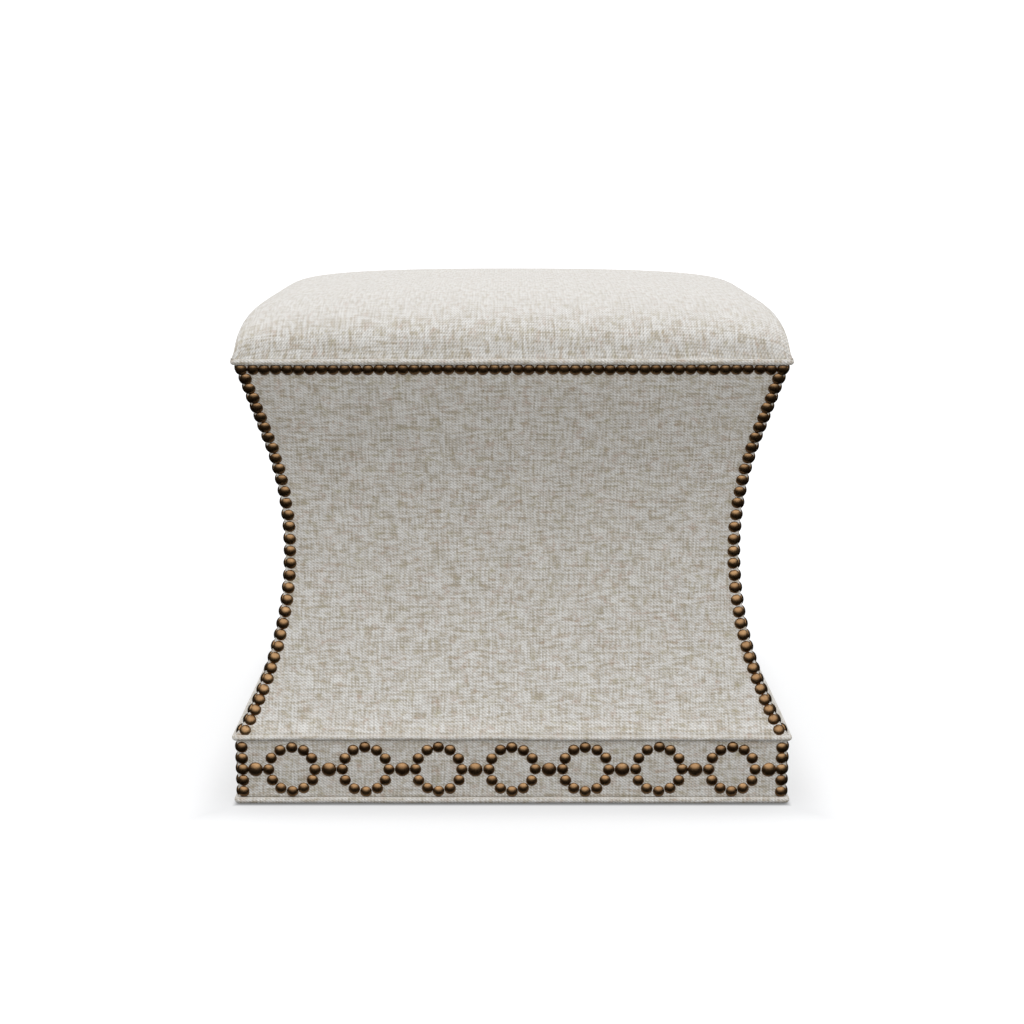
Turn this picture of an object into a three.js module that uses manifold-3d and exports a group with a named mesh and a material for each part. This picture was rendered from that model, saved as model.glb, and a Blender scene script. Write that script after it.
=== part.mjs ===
// An upholstered footstool, about 20 inches square and 18 inches high.
// Its square body narrows to a waist and flares out again, on a plain plinth, and carries a crowned
// cushion. Piping runs round the foot, on top of the plinth and under the cushion. Domed nails line
// the body's edges and its rim, and form a chain of rings and links on the plinth's band.
// Inside are a mitred plinth on four nail-on glides, a base board, curved ribs between a lower frame
// and a seat frame, bent plywood skins, wadding, and a woven web that holds the cushion's foam.
// Millimetres, +Z up. The origin is on the floor under the middle. The front faces -Y.
import * as THREE from "three";
import { mergeVertices, toCreasedNormals } from "three/addons/utils/BufferGeometryUtils.js";
import Module from "manifold-3d";

const wasm = await Module();
wasm.setup();

// Overall sizes, over the fabric
const plinthWidth = 500;
const waistDraw = 43.3; // how far each side is drawn in from the ledge to the waist
const rimFlare = 36.1; // how far each side flares out again from the waist to the rim
const ledgeHeight = 64.1; // middle of the piping on top of the plinth
const waistHeight = 232.5;
const rimHeight = 404.4; // middle of the piping under the cushion
const crownRise = 52.7; // from the cushion's lower edge to the top of its crown

// Layers, from the outside inwards, and the gap that keeps neighbours apart
const gap = 0.3;
const clothThickness = 1.5;
const bodyWadThickness = 5;
const skinThickness = 5;

// Piping: a covered cord with a flat flange that is stapled to the frame
const footPipingRadius = 2.9;
const ledgePipingRadius = 2.6;
const rimPipingRadius = 2.8;
const pipingProud = 2.2; // how far the cord stands out past the cloth beside it
const flangeThickness = 1;
const flangeLength = 12;

// Timber
const railThickness = 18;
const edgeEasing = 3; // taken off a timber edge where piping beds against it
const boardThickness = 12;
const lowerFrameHeight = 20;
const seatFrameHeight = 40;
const frameRailWidth = 46; // of the seat frame, at its top
const lowerRailWidth = 52;
const ribThickness = 18;
const ribDepth = 50;
const plinthBlockLeg = 62;
const seatBlockLeg = 70;
const blockSetback = 3; // of a corner block from the rail's upper and lower edges

// Glides and the cloth under the plinth
const glideRadius = 12.5;
const glideHeight = 3.8;
const glideEasing = 0.8;
const shankRadius = 1.5;
const shankLength = 16;
const shankPoint = 3;
const glideInset = 37; // from the outside of the plinth to a glide's middle
const dustThickness = 0.6;

// Seat
const webWidth = 50;
const webThickness = 1.1;
const webPitch = 100;
const websEachWay = 3;
const webMargin = 4; // from a web's end to the flange of the piping
const webLap = 1; // flat stretch of a web beyond each side of the one it crosses
const hessianThickness = 0.5;
const seatWadThickness = 6;
const cushionSetback = 0.6; // of the cushion's side from the top of the body
const sidePlanPower = 2.4; // how late the crown falls away towards its left and right edges
const sideEdgePower = 7.4; // and how squarely it then drops
const frontPlanPower = 4.8; // the same towards the front and the back, where it drops more roundly
const frontEdgePower = 2.7;

// Decorative nails
const nailRadius = 4.8;
const nailHeight = 2.7;
const linkNailRadius = 6.35;
const linkNailHeight = 3.5;
const nailSeat = 0.4; // depth of a head's rim in the cloth
const nailInset = 5.3; // from a corner to the middle of the nails beside it
const rimNailDrop = 7.9; // from the rim piping's middle to the row under it
const ledgeNailRise = 7.3; // from the ledge piping's middle to the lowest nail of an edge
const rimNailPitch = 10; // this and the next two pitches give way a little to whole counts
const edgeNailPitch = 10.3;
const ringPitch = 66.7;
const ringMargin = 1; // from a ring of nails to the band's upper and lower edges
const ringNailCount = 12;
const linkInset = 16.6; // from a corner to the middle of the last large nail
const endNailCount = 5;

// Facets, and how far a cutting solid runs past what it cuts
const arcSegments = 5;
const roundSides = 10;
const cordSides = 8;
const cornerSteps = 3;
const nailSides = 5;
const cutOverrun = 20;
const mergeDistance = 0.0001;
const creaseAngle = 0.8; // radians between faces that still shade as one surface

// Heights and half widths that follow from the sizes above
const plinthHalf = plinthWidth / 2;
const waistHalf = plinthHalf - waistDraw;
const topHalf = waistHalf + rimFlare;
const clearHalf = Math.max(plinthHalf, topHalf) + cutOverrun; // outside everything
const plinthClothInside = plinthHalf - clothThickness;
const railOutside = plinthClothInside - gap;
const railInside = railOutside - railThickness;
const dustLow = glideHeight + gap;
const dustTop = dustLow + dustThickness;
const railLow = dustTop + gap;
const flangeHalf = flangeThickness / 2;
const footPipingHeight = railLow - gap - flangeHalf;
const plinthFlangeInside = railOutside - flangeLength;
const bandLow = footPipingHeight + footPipingRadius + gap;
const bandTop = ledgeHeight - ledgePipingRadius - gap;
const boardTop = ledgeHeight - flangeHalf - gap;
const boardLow = boardTop - boardThickness;
const railTop = boardLow - gap;
const lowerFrameLow = boardTop + gap;
const lowerFrameTop = lowerFrameLow + lowerFrameHeight;
const seatFrameTop = rimHeight - flangeHalf - gap;
const seatFrameLow = seatFrameTop - seatFrameHeight;
const ribLow = lowerFrameTop + gap;
const ribTop = seatFrameLow - gap;
const wadInset = clothThickness + gap;
const skinInset = wadInset + bodyWadThickness + gap;
const frameInset = skinInset + skinThickness + gap;
const plinthCordHalf = plinthHalf + pipingProud;
const rimCordHalf = topHalf + pipingProud;
const rimFlangeInside = rimCordHalf - 2 * rimPipingRadius - flangeLength;
const clothTop = rimHeight - rimPipingRadius - gap;
const clothLow = ledgeHeight + ledgePipingRadius + gap;
const skinLow = ledgeHeight + flangeHalf + gap;

// Materials
const linen = new THREE.MeshStandardMaterial({ color: 0xcfcabf, roughness: 0.95 });
const pine = new THREE.MeshStandardMaterial({ color: 0xd8b988, roughness: 0.7 });
const plywood = new THREE.MeshStandardMaterial({ color: 0xc9a878, roughness: 0.75 });
const nylon = new THREE.MeshStandardMaterial({ color: 0x3a3a3c, roughness: 0.5 });
const wadding = new THREE.MeshStandardMaterial({ color: 0xf2f1ec, roughness: 1 });
const foam = new THREE.MeshStandardMaterial({ color: 0xe9dfb8, roughness: 0.9 });
const jute = new THREE.MeshStandardMaterial({ color: 0xb2935f, roughness: 0.95 });
const dustCloth = new THREE.MeshStandardMaterial({ color: 0x1d1d1f, roughness: 0.95 });

// A closed geometry as a solid that can be joined and cut.
function toSolid(geometry) {
  const bare = geometry.index ? geometry.toNonIndexed() : geometry.clone();
  bare.deleteAttribute("normal");
  bare.deleteAttribute("uv");
  const merged = mergeVertices(bare, mergeDistance);
  return new wasm.Manifold(
    new wasm.Mesh({
      numProp: 3,
      vertProperties: new Float32Array(merged.attributes.position.array),
      triVerts: new Uint32Array(merged.index.array),
    }),
  );
}

function toGeometry(solid) {
  const mesh = solid.getMesh();
  const geometry = new THREE.BufferGeometry();
  geometry.setAttribute("position", new THREE.BufferAttribute(mesh.vertProperties, mesh.numProp));
  geometry.setIndex(new THREE.BufferAttribute(mesh.triVerts, 1));
  return toCreasedNormals(geometry, creaseAngle);
}

function box(lowX, highX, lowY, highY, lowZ, highZ) {
  const geometry = new THREE.BoxGeometry(highX - lowX, highY - lowY, highZ - lowZ);
  geometry.translate((lowX + highX) / 2, (lowY + highY) / 2, (lowZ + highZ) / 2);
  return toSolid(geometry);
}

function squareBlock(half, lowZ, highZ) {
  return box(-half, half, -half, half, lowZ, highZ);
}

function extrudeUp(shape, lowZ, highZ) {
  const geometry = new THREE.ExtrudeGeometry(shape, {
    depth: highZ - lowZ,
    bevelEnabled: false,
    curveSegments: arcSegments,
  });
  geometry.translate(0, 0, lowZ);
  return toSolid(geometry);
}

// Skins a run of rings, each a list of as many points, from a start point to an end point. Seen from
// the end, rings run anticlockwise, and each four-sided patch is split along its shorter diagonal.
// Without the two points the run closes on itself.
function skinRings(rings, start, end) {
  const corners = [];
  const put = (...triangle) => triangle.forEach((p) => corners.push(p.x, p.y, p.z));
  const size = rings[0].length;
  const next = (i) => (i + 1) % size;
  const bands = start ? rings.length - 1 : rings.length;
  for (let k = 0; k < bands; k++) {
    const a = rings[k];
    const b = rings[(k + 1) % rings.length];
    for (let i = 0; i < size; i++) {
      const j = next(i);
      if (a[i].distanceTo(b[j]) < a[j].distanceTo(b[i])) {
        put(a[i], a[j], b[j]);
        put(a[i], b[j], b[i]);
      } else {
        put(a[i], a[j], b[i]);
        put(a[j], b[j], b[i]);
      }
    }
  }
  if (start) {
    const first = rings[0];
    const last = rings[rings.length - 1];
    for (let i = 0; i < size; i++) {
      put(start, first[next(i)], first[i]);
      put(end, last[i], last[next(i)]);
    }
  }
  const geometry = new THREE.BufferGeometry();
  geometry.setAttribute("position", new THREE.Float32BufferAttribute(corners, 3));
  return geometry;
}

// The waisted face, seen from the side: an arc from the ledge to the waist, the same arc on above it,
// and a straight flare that leaves that arc at a tangent and ends at the rim.
const arcRadiusOf = (rise, reach) => (rise * rise + reach * reach) / (2 * reach);
const lowerRadius = arcRadiusOf(waistHeight - ledgeHeight, waistDraw);
const upperRadius = Math.min(lowerRadius, arcRadiusOf(rimHeight - waistHeight, rimFlare));
const rimFromCentreX = upperRadius - rimFlare;
const rimFromCentreZ = rimHeight - waistHeight;
const rimFromCentre = Math.hypot(rimFromCentreX, rimFromCentreZ);
const flareAngle =
  Math.atan2(rimFromCentreZ, rimFromCentreX) -
  Math.acos(Math.min(1, upperRadius / rimFromCentre));
const lowerAngle = Math.asin((waistHeight - ledgeHeight) / lowerRadius);
const flareStart = waistHeight + upperRadius * Math.sin(flareAngle);

// Half the body's width over its cloth at a height.
function bodyHalf(z) {
  const rise = z - waistHeight;
  if (z <= waistHeight) return waistHalf + lowerRadius - Math.sqrt(lowerRadius ** 2 - rise ** 2);
  if (z <= flareStart) return waistHalf + upperRadius - Math.sqrt(upperRadius ** 2 - rise ** 2);
  return topHalf - (rimHeight - z) * Math.tan(flareAngle);
}

function waistOutline(inset) {
  const lowerX = waistHalf - inset + lowerRadius;
  const upperX = waistHalf - inset + upperRadius;
  const shape = new THREE.Shape();
  shape.moveTo(inset - plinthHalf, ledgeHeight);
  shape.lineTo(plinthHalf - inset, ledgeHeight);
  shape.absarc(lowerX, waistHeight, lowerRadius, Math.PI + lowerAngle, Math.PI, true);
  shape.absarc(upperX, waistHeight, upperRadius, Math.PI, Math.PI - flareAngle, true);
  shape.lineTo(topHalf - inset, rimHeight);
  shape.lineTo(inset - topHalf, rimHeight);
  shape.absarc(-upperX, waistHeight, upperRadius, flareAngle, 0, true);
  shape.absarc(-lowerX, waistHeight, lowerRadius, 0, -lowerAngle, true);
  return shape;
}

// The whole body with each face moved in by an inset: two extrusions of the outline, crossed.
function bodyCore(inset) {
  const across = new THREE.ExtrudeGeometry(waistOutline(inset), {
    depth: 2 * clearHalf,
    bevelEnabled: false,
    curveSegments: arcSegments,
  });
  across.rotateX(Math.PI / 2);
  across.translate(0, clearHalf, 0);
  const along = across.clone();
  along.rotateZ(Math.PI / 2);
  return toSolid(across).intersect(toSolid(along));
}

// The quarter of the plan that belongs to the front, cut back at both mitres.
function frontQuarter(lowZ, highZ) {
  const apex = -gap / Math.SQRT2;
  const shape = new THREE.Shape();
  shape.moveTo(0, apex);
  shape.lineTo(-clearHalf, apex - clearHalf);
  shape.lineTo(clearHalf, apex - clearHalf);
  return extrudeUp(shape, lowZ, highZ);
}

function bodyFace(outerInset, innerInset, lowZ, highZ) {
  return bodyCore(outerInset)
    .subtract(bodyCore(innerInset))
    .intersect(frontQuarter(lowZ, highZ));
}

// A mitred strip of the plinth's front, between two half widths.
function plinthFace(outside, inside, lowZ, highZ) {
  return box(-outside, outside, -outside, -inside, lowZ, highZ).intersect(
    frontQuarter(lowZ - cutOverrun, highZ + cutOverrun),
  );
}

// A frustum with a square plan, for eased edges.
function squareFrustum(lowHalf, highHalf, lowZ, highZ) {
  const geometry = new THREE.CylinderGeometry(
    highHalf * Math.SQRT2,
    lowHalf * Math.SQRT2,
    highZ - lowZ,
    4,
  );
  geometry.rotateX(Math.PI / 2);
  geometry.rotateZ(Math.PI / 4);
  geometry.translate(0, 0, (lowZ + highZ) / 2);
  return toSolid(geometry);
}

// The outer lower edge is eased for the foot piping.
function plinthRail() {
  const rail = plinthFace(railOutside, railInside, railLow, railTop);
  const eased = squareFrustum(railOutside - edgeEasing, railOutside, railLow, railLow + edgeEasing);
  return rail.intersect(eased.add(squareBlock(railOutside, railLow + edgeEasing, railTop)));
}

// The upper edge is eased for the ledge piping.
function baseBoard() {
  const shoulder = boardTop - edgeEasing;
  return squareBlock(railOutside, boardLow, shoulder).add(
    squareFrustum(railOutside, railOutside - edgeEasing, shoulder, boardTop),
  );
}

// A triangular block glued into an inside corner, with a hole where a glide's shank goes in.
function cornerBlock(corner, leg, lowZ, highZ, holeInset) {
  const at = gap - corner;
  const shape = new THREE.Shape();
  shape.moveTo(at, at);
  shape.lineTo(at + leg, at);
  shape.lineTo(at, at + leg);
  if (holeInset) {
    const hole = new THREE.Path();
    hole.absarc(
      holeInset - plinthHalf,
      holeInset - plinthHalf,
      shankRadius + gap,
      0,
      2 * Math.PI,
      true,
    );
    shape.holes.push(hole);
  }
  return extrudeUp(shape, lowZ, highZ);
}

function glide() {
  const outline = [
    [0, 0],
    [glideRadius - glideEasing, 0],
    [glideRadius, glideEasing],
    [glideRadius, glideHeight - glideEasing],
    [glideRadius - glideEasing, glideHeight],
    [shankRadius, glideHeight],
    [shankRadius, glideHeight + shankLength - shankPoint],
    [0, glideHeight + shankLength],
  ].map(([r, z]) => new THREE.Vector2(r, z));
  const geometry = new THREE.LatheGeometry(outline, roundSides);
  geometry.rotateX(Math.PI / 2);
  return toSolid(geometry);
}

function dustCover() {
  const half = plinthFlangeInside - gap;
  const sheet = squareBlock(half, dustLow, dustTop);
  const at = plinthHalf - glideInset;
  return [
    [1, 1],
    [1, -1],
    [-1, 1],
    [-1, -1],
  ].reduce((left, [sx, sy]) => {
    const hole = new THREE.CylinderGeometry(
      shankRadius + gap,
      shankRadius + gap,
      dustThickness + 2 * cutOverrun,
      2 * arcSegments,
    );
    hole.rotateX(Math.PI / 2);
    hole.translate(sx * at, sy * at, dustLow);
    return left.subtract(toSolid(hole));
  }, sheet);
}

// A run of covered cord round the stool, with a flange on its inner side. The flange is mitred at the
// corners, and the cord turns them in a small arc.
function piping(cordHalf, cordRadius, flangeInside, height) {
  const turn = cordHalf - 2 * cordRadius; // the corner that the cord turns round
  const section = [];
  const entry = Math.asin(flangeHalf / cordRadius);
  for (let i = 0; i <= cordSides; i++) {
    const angle = (Math.PI - entry) * (1 - (2 * i) / cordSides);
    section.push([cordRadius + cordRadius * Math.cos(angle), cordRadius * Math.sin(angle)]);
  }
  section.push([flangeInside - turn, -flangeHalf]);
  section.push([flangeInside - turn, flangeHalf]);
  const rings = [];
  for (let corner = 0; corner < 4; corner++) {
    for (let step = 0; step <= cornerSteps; step++) {
      const angle = (corner + step / cornerSteps) * (Math.PI / 2);
      const diagonal = (corner + 0.5) * (Math.PI / 2);
      const ring = section.map(([u, v]) => {
        const reach = turn + Math.min(u, 0);
        const x = Math.sign(Math.cos(diagonal)) * reach + Math.max(u, 0) * Math.cos(angle);
        const y = Math.sign(Math.sin(diagonal)) * reach + Math.max(u, 0) * Math.sin(angle);
        return new THREE.Vector3(x, y, height + v);
      });
      rings.push(ring);
    }
  }
  return toSolid(skinRings(rings));
}

// A rib between the lower frame and the seat frame: a board on edge with a straight inner edge,
// trimmed to the line of the body. A corner rib stands across the corner, which is further out.
function rib(waistReach, turn) {
  const inner = waistReach - ribDepth;
  const slab = new THREE.BoxGeometry(ribThickness, plinthWidth, ribTop - ribLow);
  slab.translate(0, -inner - plinthHalf, (ribLow + ribTop) / 2);
  slab.rotateZ(turn);
  return bodyCore(frameInset).intersect(toSolid(slab));
}

function frameRail(lowZ, highZ, inside) {
  return bodyCore(frameInset)
    .intersect(frontQuarter(lowZ, highZ))
    .subtract(squareBlock(inside, lowZ - cutOverrun, highZ + cutOverrun));
}

// Webs woven over and under each other, lying flat on the seat frame at both ends. Where a web's
// index and that of the web it crosses add up to an odd or an even number, as told, it goes over.
const seatOpening = bodyHalf(seatFrameTop) - frameInset - frameRailWidth;
const webStep = (webThickness + gap) / 2;
const webMiddle = seatFrameTop + gap + webThickness / 2 + webStep;
const webEnd = rimFlangeInside - webMargin;
const webPlace = (i) => (i - (websEachWay - 1) / 2) * webPitch;

function web(index, oddOver) {
  const line = [
    [-webEnd, -1],
    [-seatOpening, -1],
  ];
  for (let i = 0; i < websEachWay; i++) {
    const level = (i + index) % 2 === oddOver ? 1 : -1;
    const reach = webWidth / 2 + webLap;
    line.push([webPlace(i) - reach, level], [webPlace(i) + reach, level]);
  }
  line.push([seatOpening, -1], [webEnd, -1]);
  const shape = new THREE.Shape();
  const half = webThickness / 2;
  line.forEach(([x, level], i) => {
    const z = webMiddle + level * webStep - half;
    if (i) shape.lineTo(x, z);
    else shape.moveTo(x, z);
  });
  line.reverse().forEach(([x, level]) => shape.lineTo(x, webMiddle + level * webStep + half));
  const geometry = new THREE.ExtrudeGeometry(shape, { depth: webWidth, bevelEnabled: false });
  geometry.rotateX(Math.PI / 2);
  geometry.translate(0, webWidth / 2, 0);
  return geometry;
}

// The cushion. At a share of its rise its plan is a square whose corners round off towards the crown,
// and its front and back edges are rounder than its left and right ones.
const riseShares = [0, 0.4, 0.6, 0.73, 0.83, 0.905, 0.955, 0.988];
const sideShares = [-1, -0.96, -0.86, -0.5, 0, 0.5, 0.86, 0.96];
const hessianLow = webMiddle + webStep + webThickness / 2 + gap;
const foamLow = hessianLow + hessianThickness + gap;
const cushionLow = Math.max(rimHeight + rimPipingRadius + gap, foamLow);
const cushionHalf = topHalf - cushionSetback;

// Share of the crown's rise at a place given as shares of the half width.
function crownShare(x, y) {
  const across = (1 - Math.abs(x) ** sidePlanPower) ** (1 / sideEdgePower);
  const along = (1 - Math.abs(y) ** frontPlanPower) ** (1 / frontEdgePower);
  return across * along;
}

function crownRing(half, rise, share) {
  const ring = [];
  for (let side = 0; side < 4; side++) {
    for (const t of sideShares) {
      const out = new THREE.Vector3(1, t, 0);
      out.applyAxisAngle(new THREE.Vector3(0, 0, 1), (side * Math.PI) / 2);
      let near = 0;
      let far = 1;
      for (let halving = 0; halving < 40; halving++) {
        const middle = (near + far) / 2;
        if (crownShare(out.x * middle, out.y * middle) > share) near = middle;
        else far = middle;
      }
      out.multiplyScalar(half * far);
      ring.push(out.setZ(cushionLow + rise * share));
    }
  }
  return ring;
}

function crownBlock(inset) {
  const rise = crownRise - inset;
  const rings = riseShares.map((share) => crownRing(cushionHalf - inset, rise, share));
  const underside = new THREE.Vector3(0, 0, cushionLow);
  const crown = new THREE.Vector3(0, 0, cushionLow + rise);
  return toSolid(skinRings(rings, underside, crown));
}

const crownShell = (outerInset, innerInset) =>
  crownBlock(outerInset).subtract(crownBlock(innerInset));

// Nails
// A head as a low pyramid at a spot, with its rim sunk a little into the cloth.
function nailHead(radius, height, spot, normal) {
  const geometry = new THREE.ConeGeometry(radius, height + nailSeat, nailSides);
  geometry.translate(0, (height - nailSeat) / 2, 0);
  geometry.applyQuaternion(
    new THREE.Quaternion().setFromUnitVectors(new THREE.Vector3(0, 1, 0), normal),
  );
  geometry.translate(spot.x, spot.y, spot.z);
  return toSolid(geometry);
}

// The body's outline from the lowest nail of an edge to the rim's row, as half width and height.
function edgeLine() {
  const low = ledgeHeight + ledgeNailRise;
  const lowAngle = Math.asin((waistHeight - low) / lowerRadius);
  const high = rimHeight - rimNailDrop;
  const line = new THREE.Path();
  line.absarc(
    waistHalf + lowerRadius,
    waistHeight,
    lowerRadius,
    Math.PI + lowAngle,
    Math.PI,
    true,
  );
  line.absarc(
    waistHalf + upperRadius,
    waistHeight,
    upperRadius,
    Math.PI,
    Math.PI - flareAngle,
    true,
  );
  line.lineTo(bodyHalf(high), high);
  return line;
}

// Two columns of nails beside the corners, and the row under the rim between their highest ones.
function bodyNails() {
  const line = edgeLine();
  const heads = [];
  const last = Math.round(line.getLength() / edgeNailPitch);
  for (let i = 0; i <= last; i++) {
    const at = line.getPoint(i / last);
    const along = line.getTangent(i / last);
    const normal = new THREE.Vector3(0, -along.y, -along.x);
    const reach = at.x - nailInset;
    const steps = i < last ? 1 : Math.round((2 * reach) / rimNailPitch);
    for (let k = 0; k <= steps; k++) {
      const spot = new THREE.Vector3(reach * ((2 * k) / steps - 1), -at.x, at.y);
      heads.push(nailHead(nailRadius, nailHeight, spot, normal));
    }
  }
  return heads;
}

// Rings of nails along the band, with a larger nail in each space between them and a short column
// at either end.
function bandNails() {
  const heads = [];
  const normal = new THREE.Vector3(0, -1, 0);
  const middle = (bandLow + bandTop) / 2;
  const ringRadius = (bandTop - bandLow) / 2 - ringMargin - nailRadius;
  const chainHalf = plinthHalf - linkInset;
  const ringCount = Math.round((2 * chainHalf) / ringPitch);
  const put = (radius, height, x, z) =>
    heads.push(nailHead(radius, height, new THREE.Vector3(x, -plinthHalf, middle + z), normal));
  for (let link = 0; link <= ringCount; link++) {
    put(linkNailRadius, linkNailHeight, chainHalf * ((2 * link) / ringCount - 1), 0);
  }
  for (let ring = 0; ring < ringCount; ring++) {
    const x = chainHalf * ((2 * ring + 1) / ringCount - 1);
    for (let k = 0; k < ringNailCount; k++) {
      const angle = (k / ringNailCount) * 2 * Math.PI;
      const rise = ringRadius * Math.sin(angle);
      put(nailRadius, nailHeight, x + ringRadius * Math.cos(angle), rise);
    }
  }
  for (let k = 0; k < endNailCount; k++) {
    const rise = ringRadius * ((2 * k) / (endNailCount - 1) - 1);
    put(nailRadius, nailHeight, nailInset - plinthHalf, rise);
    put(nailRadius, nailHeight, plinthHalf - nailInset, rise);
  }
  return heads;
}

const withNails = (cloth, heads) => heads.reduce((whole, head) => whole.add(head), cloth);

// The assembly
const footstool = new THREE.Group();

function add(name, geometry, material, turn = 0) {
  const mesh = new THREE.Mesh(geometry, material);
  mesh.name = name;
  mesh.rotation.z = turn;
  footstool.add(mesh);
  return mesh;
}

const sides = ["front", "right", "back", "left"];
const corners = ["front_left", "front_right", "back_right", "back_left"];
const quarterTurn = (k) => (k * Math.PI) / 2;

function addRound(names, stem, solid, material) {
  const geometry = toGeometry(solid);
  names.forEach((name, k) => add(stem + "_" + name, geometry, material, quarterTurn(k)));
}

// Plinth
addRound(sides, "plinth_rail", plinthRail(), pine);
addRound(
  corners,
  "plinth_corner_block",
  cornerBlock(railInside, plinthBlockLeg, railLow + gap, railTop - blockSetback, glideInset),
  pine,
);
add("base_board", toGeometry(baseBoard()), plywood);
add("dust_cover", toGeometry(dustCover()), dustCloth);
const glideGeometry = toGeometry(glide());
corners.forEach((name, k) => {
  const at = plinthHalf - glideInset;
  const foot = add("glide_" + name, glideGeometry, nylon);
  foot.position.set(-at, -at, 0).applyAxisAngle(new THREE.Vector3(0, 0, 1), quarterTurn(k));
});

// Frame of the body
addRound(
  sides,
  "lower_rail",
  frameRail(lowerFrameLow, lowerFrameTop, bodyHalf(lowerFrameTop) - frameInset - lowerRailWidth),
  pine,
);
const ribReach = waistHalf - frameInset;
addRound(sides, "middle_rib", rib(ribReach, 0), plywood);
addRound(corners, "corner_rib", rib(ribReach * Math.SQRT2, -Math.PI / 4), plywood);
addRound(sides, "seat_rail", frameRail(seatFrameLow, seatFrameTop, seatOpening), pine);
addRound(
  corners,
  "seat_corner_block",
  cornerBlock(seatOpening, seatBlockLeg, seatFrameLow + blockSetback, seatFrameTop - blockSetback),
  pine,
);

// Skins, wadding and cloth of the body and the plinth
addRound(
  sides,
  "body_skin",
  bodyFace(skinInset, skinInset + skinThickness, skinLow, seatFrameTop),
  plywood,
);
add(
  "body_wadding",
  toGeometry(
    bodyCore(wadInset)
      .subtract(bodyCore(wadInset + bodyWadThickness))
      .intersect(squareBlock(clearHalf, clothLow, clothTop)),
  ),
  wadding,
);
addRound(
  sides,
  "body_panel",
  withNails(bodyFace(0, clothThickness, clothLow, clothTop), bodyNails()),
  linen,
);
addRound(
  sides,
  "plinth_band",
  withNails(plinthFace(plinthHalf, plinthClothInside, bandLow, bandTop), bandNails()),
  linen,
);

// Piping
const ledgeFlangeInside = bodyHalf(lowerFrameLow) - frameInset + gap;
add(
  "foot_piping",
  toGeometry(
    piping(plinthCordHalf, footPipingRadius, plinthFlangeInside, footPipingHeight),
  ),
  linen,
);
add(
  "ledge_piping",
  toGeometry(
    piping(plinthCordHalf, ledgePipingRadius, ledgeFlangeInside, ledgeHeight),
  ),
  linen,
);
add(
  "rim_piping",
  toGeometry(
    piping(rimCordHalf, rimPipingRadius, rimFlangeInside, rimHeight),
  ),
  linen,
);

// Seat
for (let i = 0; i < websEachWay; i++) {
  const along = add("web_along_" + (i + 1), web(i, 1), jute);
  along.position.y = webPlace(i);
  const across = add("web_across_" + (i + 1), web(i, 0), jute, Math.PI / 2);
  across.position.x = webPlace(i);
}
add(
  "hessian",
  toGeometry(squareBlock(webEnd, hessianLow, hessianLow + hessianThickness)),
  jute,
);
const seatWadInset = clothThickness + gap;
const foamInset = seatWadInset + seatWadThickness + gap;
add("seat_foam", toGeometry(crownBlock(foamInset)), foam);
add(
  "seat_wadding",
  toGeometry(crownShell(seatWadInset, seatWadInset + seatWadThickness)),
  wadding,
);
add("seat_cover", toGeometry(crownShell(0, clothThickness)), linen);

export default footstool;
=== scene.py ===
# The looks of an upholstered footstool with a waisted body, a crowned cushion and decorative nails.
# It is dressed as the real one is put together, from its feet to its cushion. Lengths are in metres.
import math
import random

import bmesh
import bpy
import numpy as np
from mathutils import Matrix, Vector, kdtree, noise


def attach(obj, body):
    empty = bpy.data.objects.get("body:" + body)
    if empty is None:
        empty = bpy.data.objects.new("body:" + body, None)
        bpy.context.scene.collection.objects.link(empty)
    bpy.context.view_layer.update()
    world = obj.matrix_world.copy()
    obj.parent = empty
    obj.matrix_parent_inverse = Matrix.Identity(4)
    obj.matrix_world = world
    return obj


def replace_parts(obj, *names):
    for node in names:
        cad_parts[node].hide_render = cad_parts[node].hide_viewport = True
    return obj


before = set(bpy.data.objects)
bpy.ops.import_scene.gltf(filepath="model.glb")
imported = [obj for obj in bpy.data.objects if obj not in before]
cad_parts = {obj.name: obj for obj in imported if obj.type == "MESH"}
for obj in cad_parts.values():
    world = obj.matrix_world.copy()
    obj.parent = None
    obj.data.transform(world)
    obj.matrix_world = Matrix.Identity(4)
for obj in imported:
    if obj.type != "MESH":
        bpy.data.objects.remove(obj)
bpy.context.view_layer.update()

MM = 0.001


# Camera
# It stands 1.78 m in front of the stool's middle, a little above its cushion, and looks down at it.
lens = bpy.data.cameras.new("camera")
lens.sensor_width = 36
lens.lens = 62.44
camera = bpy.data.objects.new("camera", lens)
camera.location = (0, -1783.5 * MM, 589.9 * MM)
camera.rotation_euler = (math.radians(90 - 11.7), 0, 0)
bpy.context.scene.collection.objects.link(camera)
bpy.context.scene.camera = camera


# Light
# A white sky dome lights the stool softly from all sides, a little more from low down than from
# overhead, where it is faintly blue. The gloss of the nails meets a different sky, as from large
# lamps over the front of the stool: dark low down and behind, and a little darker straight overhead.
def linear(hex_colour):
    """An sRGB colour such as #c8b496 as linear red, green, blue and an alpha of 1."""
    shares = [int(hex_colour[i:i + 2], 16) / 255 for i in (1, 3, 5)]
    return [c / 12.92 if c <= 0.04045 else ((c + 0.055) / 1.055) ** 2.4 for c in shares] + [1]


def add_node(tree, kind, sockets={}, **settings):
    """Adds a shader node with its settings, and sets or links its input sockets."""
    made = tree.nodes.new(kind)
    for name, value in settings.items():
        setattr(made, name, value)
    for socket, value in sockets.items():
        if isinstance(value, bpy.types.NodeSocket):
            tree.links.new(value, made.inputs[socket])
        else:
            made.inputs[socket].default_value = value
    return made


def mapped(tree, value, low, high, out_low=0.0, out_high=1.0, easing="LINEAR"):
    """A value moved from one range to another, and held inside it."""
    return add_node(tree, "ShaderNodeMapRange", {
        "Value": value, "From Min": low, "From Max": high, "To Min": out_low, "To Max": out_high,
    }, interpolation_type=easing).outputs["Result"]


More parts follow.
